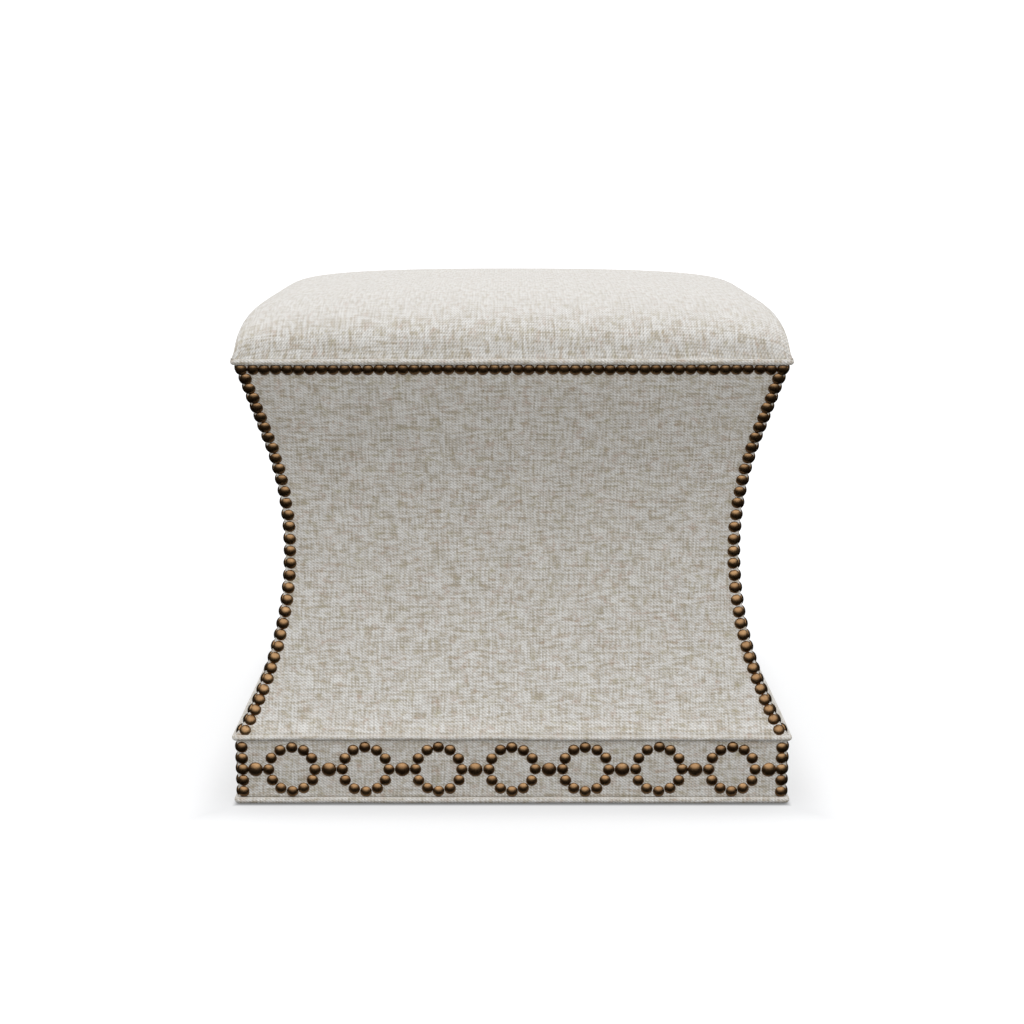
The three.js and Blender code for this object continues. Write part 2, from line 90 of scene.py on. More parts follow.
def worked(tree, operation, first, second):
    """Two values put through one step of arithmetic."""
    return add_node(tree, "ShaderNodeMath", {0: first, 1: second}, operation=operation).outputs[0]


world = bpy.data.worlds.new("studio_dome")
world.use_nodes = True
sky = world.node_tree
sky.nodes.clear()
direction = add_node(sky, "ShaderNodeTexCoord").outputs["Generated"]
height = add_node(sky, "ShaderNodeSeparateXYZ", {0: direction}).outputs["Z"]
below_is_dark = mapped(sky, height, -0.03, -0.012, 0.02, 1)
more_from_low = mapped(sky, height, 0, 1, 1.16, 1.04)
soft = worked(sky, "MULTIPLY", below_is_dark, more_from_low)
LAMPS = (0, -0.4, 0.92)  # the way to them from the stool
towards_lamps = add_node(sky, "ShaderNodeVectorMath", {
    0: direction, 1: LAMPS,
}, operation="DOT_PRODUCT").outputs["Value"]
lamps = mapped(sky, towards_lamps, 0.3, 0.92, 0.01, 3.3, "SMOOTHSTEP")
less_overhead = mapped(sky, height, 0.6, 1, 1, 0.9)
gloss = worked(sky, "MULTIPLY", lamps, less_overhead)
strength = add_node(sky, "ShaderNodeMix", {
    0: add_node(sky, "ShaderNodeLightPath").outputs["Is Glossy Ray"], 2: soft, 3: gloss,
}).outputs[0]
tint = add_node(sky, "ShaderNodeMix", {
    0: height, 6: linear("#ffffff"), 7: linear("#f6f9ff"),
}, data_type="RGBA").outputs[2]
dome = add_node(sky, "ShaderNodeBackground", {"Color": tint, "Strength": strength})
add_node(sky, "ShaderNodeOutputWorld", {"Surface": dome.outputs["Background"]})
bpy.context.scene.world = world
bpy.context.scene.view_settings.view_transform = "Standard"


# Floor
# A pale floor that shows to the camera alone. It glows, and glows less close to the stool: a painted
# shadow round the stool's foot, on top of the light real shadow it takes. A sheet just under it, which
# the camera doesn't see, sends light back up to the stool, but none from close by, where the stool
# shades it. Neither shows in the gloss of the nails.
FLOOR_REACH = 60
SHEET_BELOW = 2 * MM


def lay_floor(name, albedo, height, steps):
    """A wide matt floor at a height. Each step of its glow runs between two distances from the
    stool's middle, and between two strengths."""
    finish = bpy.data.materials.new(name)
    finish.use_nodes = True
    finish.cycles.emission_sampling = "NONE"
    tree = finish.node_tree
    tree.nodes.clear()
    place = add_node(tree, "ShaderNodeTexCoord").outputs["Object"]
    beside = add_node(tree, "ShaderNodeVectorMath", {0: place}, operation="ABSOLUTE")
    spot = add_node(tree, "ShaderNodeSeparateXYZ", {0: beside.outputs[0]})
    out = worked(tree, "MAXIMUM", spot.outputs["X"], spot.outputs["Y"])
    glow = 0.0
    for near, far, low, high in steps:
        glow = worked(tree, "ADD", mapped(tree, out, near, far, low, high, "SMOOTHSTEP"), glow)
    shader = add_node(tree, "ShaderNodeBsdfPrincipled", {
        "Base Color": linear(albedo), "Roughness": 1, "Specular IOR Level": 0,
        "Emission Color": linear("#ffffff"), "Emission Strength": glow,
    })
    add_node(tree, "ShaderNodeOutputMaterial", {"Surface": shader.outputs["BSDF"]})
    shape = bmesh.new()
    bmesh.ops.create_grid(shape, x_segments=1, y_segments=1, size=FLOOR_REACH)
    bmesh.ops.translate(shape, verts=shape.verts, vec=(0, 0, height))
    mesh = bpy.data.meshes.new(name)
    shape.to_mesh(mesh)
    shape.free()
    mesh.materials.append(finish)
    sheet = bpy.data.objects.new(name, mesh)
    bpy.context.scene.collection.objects.link(sheet)
    sheet.visible_glossy = False
    return sheet


# The floor's glow is weakest close to the stool and grows further out: a painted shadow round the
# stool's foot
floor = lay_floor("white_studio_floor", "#a2a2a2", 0, [
    (250 * MM, 256 * MM, 0.2, 0.57), (257 * MM, 305 * MM, 0, 0.14), (305 * MM, 600 * MM, 0, 0.1),
])
floor.visible_diffuse = False
bounce = lay_floor("bounce_sheet", "#000000", -SHEET_BELOW, [(250 * MM, 550 * MM, 0, 0.2)])
bounce.visible_camera = False


# Glides
# Four black nylon nail-on glides lift the plinth just clear of the floor. Each is a moulded disc
# round the head of a steel pin that is driven into a corner block.
CORNERS = ["front_left", "front_right", "back_right", "back_left"]
GLIDE_MIDDLE = 213 * MM
PIN_RADIUS = 1.5
PIN_TIP = 19.8
# Radius and height in mm, from the middle of the disc's foot to the tip of the pin
GLIDE_OUTLINE = [
    (0, 0), (11.2, 0), (12.1, 0.25), (12.5, 0.9), (12.5, 2.9), (12.1, 3.55), (11.2, 3.8),
    (PIN_RADIUS, 3.8), (PIN_RADIUS, 16.8), (0, PIN_TIP),
]


def start_finish(name, roughness, sheen=0.0):
    """A new material: its node tree, its main shader and its output are there to be linked."""
    finish = bpy.data.materials.new(name)
    finish.use_nodes = True
    tree = finish.node_tree
    tree.nodes.clear()
    shader = add_node(tree, "ShaderNodeBsdfPrincipled", {
        "Roughness": roughness, "Sheen Weight": sheen, "Sheen Roughness": 0.5,
    })
    add_node(tree, "ShaderNodeOutputMaterial", {"Surface": shader.outputs["BSDF"]})
    return finish, tree, shader


def paint(tree, shader, factor, low, high):
    """Colours a finish between two colours by a factor."""
    colour = add_node(tree, "ShaderNodeMix", {
        "Factor": factor, 6: linear(low), 7: linear(high),
    }, data_type="RGBA")
    tree.links.new(colour.outputs[2], shader.inputs["Base Color"])


def emboss(tree, shader, relief, strength, depth, invert=False):
    """Raises a finish by a relief, in small light and shade only."""
    bump = add_node(tree, "ShaderNodeBump", {
        "Height": relief, "Strength": strength, "Distance": depth,
    }, invert=invert)
    tree.links.new(bump.outputs["Normal"], shader.inputs["Normal"])


def noisy(tree, place, size, detail, distortion=0.0):
    """Noise in patches of a size, from 0 to 1."""
    return add_node(tree, "ShaderNodeTexNoise", {
        "Vector": place, "Scale": 1 / size, "Detail": detail, "Distortion": distortion,
    }).outputs["Fac"]


def keep(shape, name, finish):
    """Makes a bmesh a smooth object with one finish, fixed to the stool."""
    mesh = bpy.data.meshes.new(name)
    shape.to_mesh(mesh)
    shape.free()
    mesh.polygons.foreach_set("use_smooth", [True] * len(mesh.polygons))
    mesh.materials.append(finish)
    piece = bpy.data.objects.new(name, mesh)
    bpy.context.scene.collection.objects.link(piece)
    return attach(piece, "root")


def nylon_finish():
    # Injection-moulded nylon: near black, dull, with a faint unevenness from the mould
    finish, tree, shader = start_finish("moulded_black_nylon", 0.45)
    place = add_node(tree, "ShaderNodeTexCoord").outputs["Object"]
    grain = noisy(tree, place, 2 * MM, 3)
    paint(tree, shader, grain, "#1c1c1e", "#303033")
    emboss(tree, shader, grain, 0.3, 0.05 * MM)
    return finish


nylon = nylon_finish()
for corner in CORNERS:
    shape = bmesh.new()
    ring = [shape.verts.new((r * MM, 0, z * MM)) for r, z in GLIDE_OUTLINE]
    line = [shape.edges.new(pair) for pair in zip(ring, ring[1:])]
    bmesh.ops.spin(
        shape, geom=ring + line, cent=(0, 0, 0), axis=(0, 0, 1), angle=2 * math.pi, steps=32,
        use_merge=True,
    )
    bmesh.ops.remove_doubles(shape, verts=shape.verts, dist=0.01 * MM)
    bmesh.ops.recalc_face_normals(shape, faces=shape.faces)
    x = GLIDE_MIDDLE if "right" in corner else -GLIDE_MIDDLE
    y = GLIDE_MIDDLE if "back" in corner else -GLIDE_MIDDLE
    bmesh.ops.translate(shape, verts=shape.verts, vec=(x, y, 0))
    glide = keep(shape, "nylon_glide_" + corner, nylon)
    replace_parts(glide, "glide_" + corner)


# Timber of the plinth and the body
# Planed softwood rails and glued corner blocks, a plywood base board, plywood ribs and bent
# plywood skins. All of it is under the cloth, so it is left bare.
def timber_finish(name, pale, dark, ring_width, turn):
    """Bare wood whose grain runs along X, or along Y or Z where it is turned."""
    drawn_out = 12  # how many times longer than wide the grain's figure is
    finish, tree, shader = start_finish(name, 0.7)
    place = add_node(tree, "ShaderNodeTexCoord").outputs["Object"]
    along = add_node(tree, "ShaderNodeMapping", {
        "Vector": place, "Rotation": turn, "Scale": (1, drawn_out, drawn_out),
    }).outputs["Vector"]
    paint(tree, shader, noisy(tree, along, drawn_out * ring_width, 4, 0.6), pale, dark)
    emboss(tree, shader, noisy(tree, along, 2 * ring_width, 2), 0.3, 0.1 * MM)
    return finish


quarter = math.pi / 2
pine_along_x = timber_finish("planed_pine_lengthwise", "#e2c493", "#b98a52", 3 * MM, (0, 0, 0))
pine_along_y = timber_finish("planed_pine_crosswise", "#e2c493", "#b98a52", 3 * MM, (0, 0, quarter))
birch_flat = timber_finish("birch_plywood_flat", "#dcc39a", "#bd9a66", 5 * MM, (0, 0, 0))
birch_upright = timber_finish("birch_plywood_upright", "#dcc39a", "#bd9a66", 5 * MM, (0, quarter, 0))


def refinish(node, finish):
    """Gives a carried-over node its finish."""
    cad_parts[node].data.materials.clear()
    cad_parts[node].data.materials.append(finish)


SIDES = ["front", "right", "back", "left"]
for side in SIDES:
    along = pine_along_x if side in ("front", "back") else pine_along_y
    for rail in ["plinth_rail_", "lower_rail_", "seat_rail_"]:
        refinish(rail + side, along)
    refinish("middle_rib_" + side, birch_upright)
    refinish("body_skin_" + side, birch_upright)
for corner in CORNERS:
    refinish("plinth_corner_block_" + corner, pine_along_x)
    refinish("seat_corner_block_" + corner, pine_along_x)
    refinish("corner_rib_" + corner, birch_upright)
refinish("base_board", birch_flat)


# Dust cover
# A sheet of black spun-bonded cloth stapled under the plinth, just inside the foot piping. It
# sags a little, and each glide's pin goes through a slit in it.
def dust_cloth_finish():
    # Bonded fibres with a faint diamond emboss, matt and nearly black
    finish, tree, shader = start_finish("black_spun_bonded_cloth", 0.95)
    place = add_node(tree, "ShaderNodeTexCoord").outputs["Object"]
    dots = add_node(tree, "ShaderNodeTexVoronoi", {"Vector": place, "Scale": 1 / (1.2 * MM)})
    paint(tree, shader, noisy(tree, place, 1.5 * MM, 4), "#141416", "#2c2c2f")
    emboss(tree, shader, dots.outputs["Distance"], 0.5, 0.1 * MM)
    return finish


DUST_HALF = 235.9 * MM
DUST_HEIGHT = 4.7 * MM
DUST_SAG = 2.2 * MM
DUST_THICK = 0.5 * MM
DUST_CELLS = 72  # so that one cell lies round each glide's pin
shape = bmesh.new()
bmesh.ops.create_grid(shape, x_segments=DUST_CELLS, y_segments=DUST_CELLS, size=DUST_HALF)
cell = 2 * DUST_HALF / DUST_CELLS
slits = [
    face for face in shape.faces
    if max(abs(abs(c) - GLIDE_MIDDLE) for c in face.calc_center_median()[:2]) < cell / 2
]
bmesh.ops.delete(shape, geom=slits, context="FACES_ONLY")
for vert in shape.verts:
    slack = (1 - (vert.co.x / DUST_HALF) ** 2) * (1 - (vert.co.y / DUST_HALF) ** 2)
    vert.co.z = DUST_HEIGHT - DUST_SAG * slack
bmesh.ops.solidify(shape, geom=shape.faces, thickness=DUST_THICK)
dust_cover = keep(shape, "dust_cloth", dust_cloth_finish())
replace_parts(dust_cover, "dust_cover")


# Piping
# Cord covered in the stool's own linen, with a flat lip that is stapled under the cloth beside it.
# One runs round the foot, one round the top of the plinth and one under the cushion.
def linen_finish():
    # Undyed flax yarns of uneven thickness in a twill weave: off-white with tan flecks, matt, and
    # deeply ribbed. The rib's pitch is that of the real cloth, and its slubs are a few yarns wide.
    finish, tree, shader = start_finish("slubby_linen_twill", 0.9, 0.12)
    cloth = add_node(tree, "ShaderNodeUVMap", uv_map="cloth").outputs["UV"]

    def strayed(place, size, reach):
        """A place moved by up to half the reach, in patches of a size."""
        stray = add_node(tree, "ShaderNodeTexNoise", {"Vector": place, "Scale": 1 / size, "Detail": 2})
        off = add_node(tree, "ShaderNodeVectorMath", {
            0: stray.outputs["Color"], 1: (0.5, 0.5, 0.5),
        }, operation="SUBTRACT")
        return add_node(tree, "ShaderNodeVectorMath", {
            0: off.outputs[0], 1: (reach, reach, 0), 2: place,
        }, operation="MULTIPLY_ADD").outputs[0]

    # The yarns wander a little, and where each passes over its neighbours is a little off too,
    # which keeps the weave from looking printed.
    yarns = strayed(cloth, 18 * MM, 1.6 * MM)
    floats = strayed(yarns, 2.6 * MM, 0.6 * MM)

    def streaks(width, height, detail=2):
        """Noise in patches of this width and height, from 0 to 1."""
        stretched = add_node(tree, "ShaderNodeVectorMath", {
            0: yarns, 1: (1 / width, 1 / height, 0),
        }, operation="MULTIPLY")
        return noisy(tree, stretched.outputs[0], 1, detail)

    def rib(across, up):
        """Ribs with these counts per metre across and up the cloth, from -1 to 1."""
        steps = add_node(tree, "ShaderNodeVectorMath", {
            0: floats, 1: (2 * math.pi * across, 2 * math.pi * up, 0),
        }, operation="DOT_PRODUCT")
        return add_node(tree, "ShaderNodeMath", {0: steps.outputs["Value"]}, operation="SINE").outputs[0]

    def blend(factor, low, high, kind="MIX"):
        """The colour between two colours at a factor."""
        return add_node(tree, "ShaderNodeMix", {
            "Factor": factor, 6: low, 7: high,
        }, data_type="RGBA", blend_type=kind).outputs[2]

    def graded(value, stops):
        """Colours along a value."""
        ramp = add_node(tree, "ShaderNodeValToRGB", {"Fac": value})
        first, last = ramp.color_ramp.elements
        first.position, first.color = stops[0][0], linear(stops[0][1])
        last.position, last.color = stops[-1][0], linear(stops[-1][1])
        for place, colour in stops[1:-1]:
            ramp.color_ramp.elements.new(place).color = linear(colour)
        return ramp.outputs["Color"]

    def sum_of(start, *shares):
        """A number plus a share of each value."""
        total = start
        for value, share in shares:
            total = add_node(tree, "ShaderNodeMath", {
                0: value, 1: share, 2: total,
            }, operation="MULTIPLY_ADD").outputs[0]
        return total

    # The slubs of the yarns up and across the cloth, and the ribs where they pass over each other
    warp = streaks(2.3 * MM, 15 * MM)
    weft = streaks(15 * MM, 2.5 * MM)
    main_rib = rib(290, 378)
    cross_rib = rib(245, -400)
    warp_rib = rib(345, 0)
    weft_rib = rib(0, 400)
    slub = sum_of(-0.25, (warp, 0.7), (weft, 0.8))
    colour = graded(slub, [
        (0.32, "#c1b7a4"), (0.42, "#d5cec1"), (0.50, "#e1dcd3"), (0.62, "#eeebe4"),
    ])
    # Tan patches where coarser flax was spun in, and small darker flecks of its bark
    hue = mapped(tree, streaks(26 * MM, 20 * MM), 0.42, 0.58)
    olive_or_rosy = blend(hue, linear("#bbb08f"), linear("#c4ac97"))
    tan = mapped(tree, streaks(8 * MM, 5 * MM, 3), 0.50, 0.76, 0.0, 0.8)
    colour = blend(tan, colour, olive_or_rosy)
    fleck = mapped(tree, streaks(3 * MM, 2.2 * MM), 0.65, 0.80, 0.0, 0.85)
    colour = blend(fleck, colour, linear("#8f7854"))
    # The ribs shade the cloth, which is a little darker in wide patches
    patch = mapped(tree, streaks(30 * MM, 30 * MM), 0.35, 0.65, 0.95, 1.0)
    shade = sum_of(patch, (main_rib, 0.13), (cross_rib, 0.05), (warp_rib, 0.05), (weft_rib, 0.05))
    grey = add_node(tree, "ShaderNodeCombineColor", {0: shade, 1: shade, 2: shade})
    colour = blend(1.0, colour, grey.outputs[0], "MULTIPLY")
    # Where the cloth lies level its weave is painted paler and fainter, by up to half: painted light,
    # standing in for strong light from straight overhead washing the weave out
    facing = add_node(tree, "ShaderNodeNewGeometry").outputs["Normal"]
    level = add_node(tree, "ShaderNodeSeparateXYZ", {0: facing}).outputs["Z"]
    painted_overhead_wash = mapped(tree, level, 0.6, 0.98, 0.0, 0.5)
    colour = blend(painted_overhead_wash, colour, linear("#e0dbd3"))
    tree.links.new(colour, shader.inputs["Base Color"])
    relief = sum_of(0.0, (main_rib, 0.2), (cross_rib, 0.08), (warp_rib, 0.06), (slub, 0.7))
    emboss(tree, shader, relief, 1.0, 0.22 * MM)
    return finish


linen = linen_finish()


def pushed(shape, edges, step):
    """Draws open edges out by a step, and gives the new open edges."""
    made = bmesh.ops.extrude_edge_only(shape, edges=edges)["geom"]
    ends = [v for v in made if isinstance(v, bmesh.types.BMVert)]
    bmesh.ops.translate(shape, verts=ends, vec=step)
    return [e for e in made if isinstance(e, bmesh.types.BMEdge) and len(e.link_faces) == 1]


def piping(name, half, radius, lip_inside, height, wave):
    """A cord swept round the stool with its outside at half, and its lip reaching in."""
    shape = bmesh.new()
    middle = half - radius
    turn = half - 2 * radius
    stand = Matrix.Translation((0, -middle, height)) @ Matrix.Rotation(quarter, 4, "Y")
    bmesh.ops.create_circle(shape, segments=16, radius=radius, matrix=stand)
    edges = list(shape.edges)
    # It starts and ends at the middle of the front, and each whole side takes twice these steps.
    to_corner = 30
    step = Vector((turn / to_corner, 0, 0))
    for side in range(4):
        swing = Matrix.Rotation(side * quarter, 3, "Z")
        for k in range(to_corner if side == 0 else 2 * to_corner):
            edges = pushed(shape, edges, swing @ step)
        made = bmesh.ops.spin(
            shape, geom=edges + list({v for e in edges for v in e.verts}),
            cent=swing @ Vector((turn, -turn, height)), axis=(0, 0, 1), angle=quarter, steps=6,
        )["geom_last"]
        edges = [e for e in made if isinstance(e, bmesh.types.BMEdge)]
    for k in range(to_corner):
        edges = pushed(shape, edges, step)
    bmesh.ops.remove_doubles(shape, verts=shape.verts, dist=0.02 * MM)
    bmesh.ops.recalc_face_normals(shape, faces=shape.faces)
    # The cloth map runs along the cord and round it.
    cloth = shape.loops.layers.uv.new("cloth")
    for face in shape.faces:
        middle_of_face = face.calc_center_median()
        side = round(math.atan2(middle_of_face.x, -middle_of_face.y) / quarter) % 4
        back = Matrix.Rotation(-side * quarter, 3, "Z")
        centre = back @ middle_of_face
        round_face = math.atan2(centre.z - height, -middle - centre.y)
        for loop in face.loops:
            spot = back @ loop.vert.co
            angle = math.atan2(spot.z - height, -middle - spot.y)
            if angle - round_face > math.pi:
                angle -= 2 * math.pi
            if round_face - angle > math.pi:
                angle += 2 * math.pi
            loop[cloth].uv = (spot.x + side * 2 * half, radius * angle)
    # A hand-sewn cord is never quite straight or quite even.
    for vert in shape.verts:
        spot = vert.co / (70 * MM)
        vert.co.z += wave * noise.noise(spot + Vector((0, 0, height / MM)))
        bulge = 0.12 * MM * noise.noise(vert.co / (9 * MM))
        vert.co += Vector((vert.co.x, vert.co.y, 0)).normalized() * bulge
    # The lip is a flat frame, mitred at its corners.
    outside = bmesh.ops.create_circle(
        shape, segments=4, radius=(middle - radius / 2) * math.sqrt(2),
        matrix=Matrix.Translation((0, 0, height)) @ Matrix.Rotation(quarter / 2, 4, "Z"),
    )["verts"]
    border = list({edge for vert in outside for edge in vert.link_edges})
    made = bmesh.ops.extrude_edge_only(shape, edges=border)["geom"]
    inner = [v for v in made if isinstance(v, bmesh.types.BMVert)]
    share = lip_inside / (middle - radius / 2)
    bmesh.ops.scale(shape, verts=inner, vec=(share, share, 1))
    lip = [f for f in made if isinstance(f, bmesh.types.BMFace)]
    bmesh.ops.solidify(shape, geom=lip, thickness=LIP_THICK)
    piece = keep(shape, name, linen)
    return piece


LIP_THICK = 0.8 * MM
FOOT_CORD = 4.2 * MM
LEDGE_CORD = 64.1 * MM
RIM_CORD = 404.4 * MM
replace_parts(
    piping("foot_cord", 253.4 * MM, 2.9 * MM, 236.2 * MM, FOOT_CORD, 0.3 * MM), "foot_piping"
)
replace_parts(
    piping("ledge_cord", 253.8 * MM, 2.6 * MM, 235.6 * MM, LEDGE_CORD, 0.9 * MM), "ledge_piping"
)
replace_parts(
    piping("rim_cord", 246.0 * MM, 2.8 * MM, 227.4 * MM, RIM_CORD, 0.5 * MM), "rim_piping"
)


# Faces of the body and the plinth
# Linen is drawn over each face, the body's over a layer of wadding, and mitred at the corners.
# The body's faces are hollow: an arc from the ledge to the waist, the same arc on above it, and a
# straight flare up to the rim.
PLINTH_HALF = 250 * MM
WAIST_HALF = 206.7 * MM
RIM_HALF = 242.8 * MM
LEDGE = LEDGE_CORD
WAIST = 232.5 * MM
RIM = RIM_CORD


def arc_radius(rise, reach):
    """Radius of an arc that leaves the upright and moves out by a reach over a rise."""
    return (rise ** 2 + reach ** 2) / (2 * reach)


lower_radius = arc_radius(WAIST - LEDGE, PLINTH_HALF - WAIST_HALF)
upper_radius = min(lower_radius, arc_radius(RIM - WAIST, RIM_HALF - WAIST_HALF))
to_rim = Vector((upper_radius - (RIM_HALF - WAIST_HALF), RIM - WAIST))
flare = math.atan2(to_rim.y, to_rim.x) - math.acos(min(1, upper_radius / to_rim.length))


def body_half(z):
    """Half the width of the body over its cloth at a height."""
    if z <= WAIST:
        return WAIST_HALF + lower_radius - math.sqrt(lower_radius ** 2 - (z - WAIST) ** 2)
    if z <= WAIST + upper_radius * math.sin(flare):
        return WAIST_HALF + upper_radius - math.sqrt(upper_radius ** 2 - (z - WAIST) ** 2)
    return RIM_HALF - (RIM - z) * math.tan(flare)


heights = np.linspace(LEDGE, RIM, 400)
halves = np.array([body_half(z) for z in heights])
climbs = np.concatenate([[0], np.cumsum(np.hypot(np.diff(heights), np.diff(halves)))])


def up_body(climb):
    """Height, half width and outward slope of the body at a distance up its face."""
    z = float(np.interp(climb, climbs, heights))
    step = 1 * MM
    slope = (body_half(min(z + step, RIM)) - body_half(z - step)) / (2 * step)
    return z, body_half(z), slope


def up_band(climb):
    """The same for the upright band of the plinth, measured from the floor."""
    return climb, PLINTH_HALF, 0.0


def climb_to(z):
    """The distance up the body's face to a height."""
    return float(np.interp(z, heights, climbs))


def eased(share):
    """A share held between 0 and 1, with a gentle start and end."""
    share = min(max(share, 0), 1)
    return share * share * (3 - 2 * share)


ROLL_OUT = 1.9 * MM
ROLL_LENGTH = 13 * MM
ROLL_START = climb_to(65.8 * MM)


def roll_over(climb):
    """How far the linen is drawn out over the ledge's cord near its lower edge."""
    return ROLL_OUT * eased(1 - (climb - ROLL_START) / ROLL_LENGTH)


# Nail places
# Domed nails run down both edges of each face of the body and along its rim. On the plinth's band
# they make a chain of rings, with a larger nail in each space and a short row down each edge. Each
# is driven by hand, so it sits a little off its mark.
NAIL = 5.35 * MM
LINK_NAIL = 6.9 * MM
NAIL_SLIP = 0.25 * MM
NAIL_INSET = 5.3 * MM
RIM_ROW_INSET = 4.2 * MM
ABOVE_LEDGE = 5.9 * MM
BELOW_RIM = 7.2 * MM
EDGE_STEPS = 33
EDGE_CROWDING = 0.11
RIM_STEPS = 47
BAND_MIDDLE = 33.2 * MM
RING_RADIUS = 21.1 * MM
CHAIN_HALF = 233.4 * MM
RING_COUNT = 7
RING_NAILS = 12
BAND_EDGE_STEPS = 4
hand = random.Random(5)


def mark(across, climb, radius=NAIL):
    """A nail's place, off its mark by the slip of the hand."""
    return (
        across + hand.uniform(-NAIL_SLIP, NAIL_SLIP), climb + hand.uniform(-NAIL_SLIP, NAIL_SLIP),
        radius,
    )


def body_marks():
    """Rows up both edges of a face, closer set near both ends, then one along its rim."""
    low = climb_to(LEDGE + ABOVE_LEDGE)
    high = climb_to(RIM - BELOW_RIM)
    marks = []
    for k in range(EDGE_STEPS):
        share = k / EDGE_STEPS
        share -= EDGE_CROWDING * math.sin(2 * math.pi * share) / (2 * math.pi)
        climb = low + (high - low) * share
        reach = up_body(climb)[1] - NAIL_INSET
        marks += [mark(-reach, climb), mark(reach, climb)]
    reach = up_body(high)[1] - RIM_ROW_INSET
    marks += [mark(reach * (2 * k / RIM_STEPS - 1), high) for k in range(RIM_STEPS + 1)]
    return marks


def band_marks():
    """The larger nails, the rings between them, then the rows at both edges of a band."""
    marks = []
    for link in range(RING_COUNT + 1):
        marks.append(mark(CHAIN_HALF * (2 * link / RING_COUNT - 1), BAND_MIDDLE, LINK_NAIL))
    for ring in range(RING_COUNT):
        middle = CHAIN_HALF * ((2 * ring + 1) / RING_COUNT - 1)
        for k in range(RING_NAILS):
            angle = 2 * math.pi * k / RING_NAILS
            marks.append(mark(
                middle + RING_RADIUS * math.cos(angle), BAND_MIDDLE + RING_RADIUS * math.sin(angle)
            ))
    reach = PLINTH_HALF - NAIL_INSET
    for k in range(BAND_EDGE_STEPS + 1):
        climb = BAND_MIDDLE + RING_RADIUS * (2 * k / BAND_EDGE_STEPS - 1)
        marks += [mark(-reach, climb), mark(reach, climb)]
    return marks


# Linen and wadding of the faces
# Each layer is laid flat and then bent to its face. The nails draw the linen in round them, it
# swells a little unevenly between them, and at its sides it is turned into the mitres.
PRESS_DEPTH = 0.5 * MM
PRESS_START = 3.5 * MM
PRESS_LENGTH = 8 * MM
SWELL_DEPTH = 0.35 * MM
SWELL_LENGTH = 45 * MM
SWELL_MARGIN = 20 * MM
CORNER_ROUND = 2 * MM
MITRE_GAP = 0.2 * MM


def press(marks, across, climb):
    """How far the nails draw the cloth in at a place."""
    to_nail = marks.find((across, climb, 0))[2]
    return PRESS_DEPTH * (1 - eased((to_nail - PRESS_START) / PRESS_LENGTH))


def face_cloth(name, side, finish, outline, low, high, columns, rows, marks, thick, inset):
    """A layer over one face, from one distance up it to another, and rounded into its corners."""
    nails = kdtree.KDTree(max(1, len(marks)))
    for i, (across, climb, _) in enumerate(marks):
        nails.insert((across, climb, 0), i)
    nails.balance()
    shape = bmesh.new()
    bmesh.ops.create_grid(shape, x_segments=columns, y_segments=rows, size=1)
    flat = []
    places = []
    for vert in shape.verts:
        climb = low + (high - low) * (vert.co.y + 1) / 2
        z, half, slope = outline(climb)
        half -= inset
        if outline is up_body:
            half += roll_over(climb)
        # The columns are closer towards the sides, where the cloth turns round a quarter circle
        spread = math.copysign(1 - (1 - abs(vert.co.x)) ** 1.35, vert.co.x)
        run = spread * (half - CORNER_ROUND + CORNER_ROUND * math.pi / 4)
        past = max(0, abs(run) - (half - CORNER_ROUND)) / CORNER_ROUND
        across = min(abs(run), half - CORNER_ROUND) + CORNER_ROUND * math.sin(past)
        depth = CORNER_ROUND * (1 - math.cos(past))
        if marks:
            depth += press(nails, run, climb)
        swelling = noise.noise(Vector((run, climb, SIDES.index(side))) / SWELL_LENGTH)
        from_edge = min(half - abs(run), climb - low, high - climb) / SWELL_MARGIN
        depth -= SWELL_DEPTH * swelling * min(1, max(0, from_edge))
        steep = math.sqrt(1 + slope * slope)
        places.append(Vector((
            math.copysign(across, run), -half + depth / steep, z + depth * slope / steep,
        )))
        flat.append((run, climb))
    cloth = shape.loops.layers.uv.new("cloth")
    for face in shape.faces:
        for loop in face.loops:
            loop[cloth].uv = flat[loop.vert.index]
    for vert, place in zip(shape.verts, places):
        vert.co = place
    shape.normal_update()
    shape.faces.ensure_lookup_table()
    if shape.faces[0].normal.y > 0:
        bmesh.ops.reverse_faces(shape, faces=shape.faces)
    bmesh.ops.solidify(shape, geom=shape.faces, thickness=thick)
    for vert in shape.verts:  # the inner side stops at the mitres too
        limit = -vert.co.y - MITRE_GAP
        vert.co.x = min(max(vert.co.x, -limit), limit)
    turn = Matrix.Rotation(SIDES.index(side) * quarter, 3, "Z")
    bmesh.ops.rotate(shape, verts=shape.verts, cent=(0, 0, 0), matrix=turn)
    return keep(shape, name, finish)


# Nail heads
# Steel nails with domed heads, plated with brass and aged to a dark bronze that turns a warmer brown
# from nail to nail and in small spots on each.
def nail_finish():
    # Brass plate with a brown patina that differs from nail to nail and in small spots on each
    finish, tree, shader = start_finish("aged_brass_plate", 0.3)
    shader.inputs["Metallic"].default_value = 1
    place = add_node(tree, "ShaderNodeTexCoord").outputs["Object"]
    from_nail_to_nail = noisy(tree, place, 14 * MM, 1)
    spots = noisy(tree, place, 1.6 * MM, 3)
    patina = mapped(tree, worked(tree, "MULTIPLY", from_nail_to_nail, spots), 0.12, 0.40)
    paint(tree, shader, patina, "#6f5439", "#896c4c")
    tree.links.new(mapped(tree, spots, 0, 1, 0.28, 0.42), shader.inputs["Roughness"])
    return finish


aged_brass = nail_finish()
HEAD_SUNK = 0.4 * MM
HEAD_LEAN = math.radians(3)


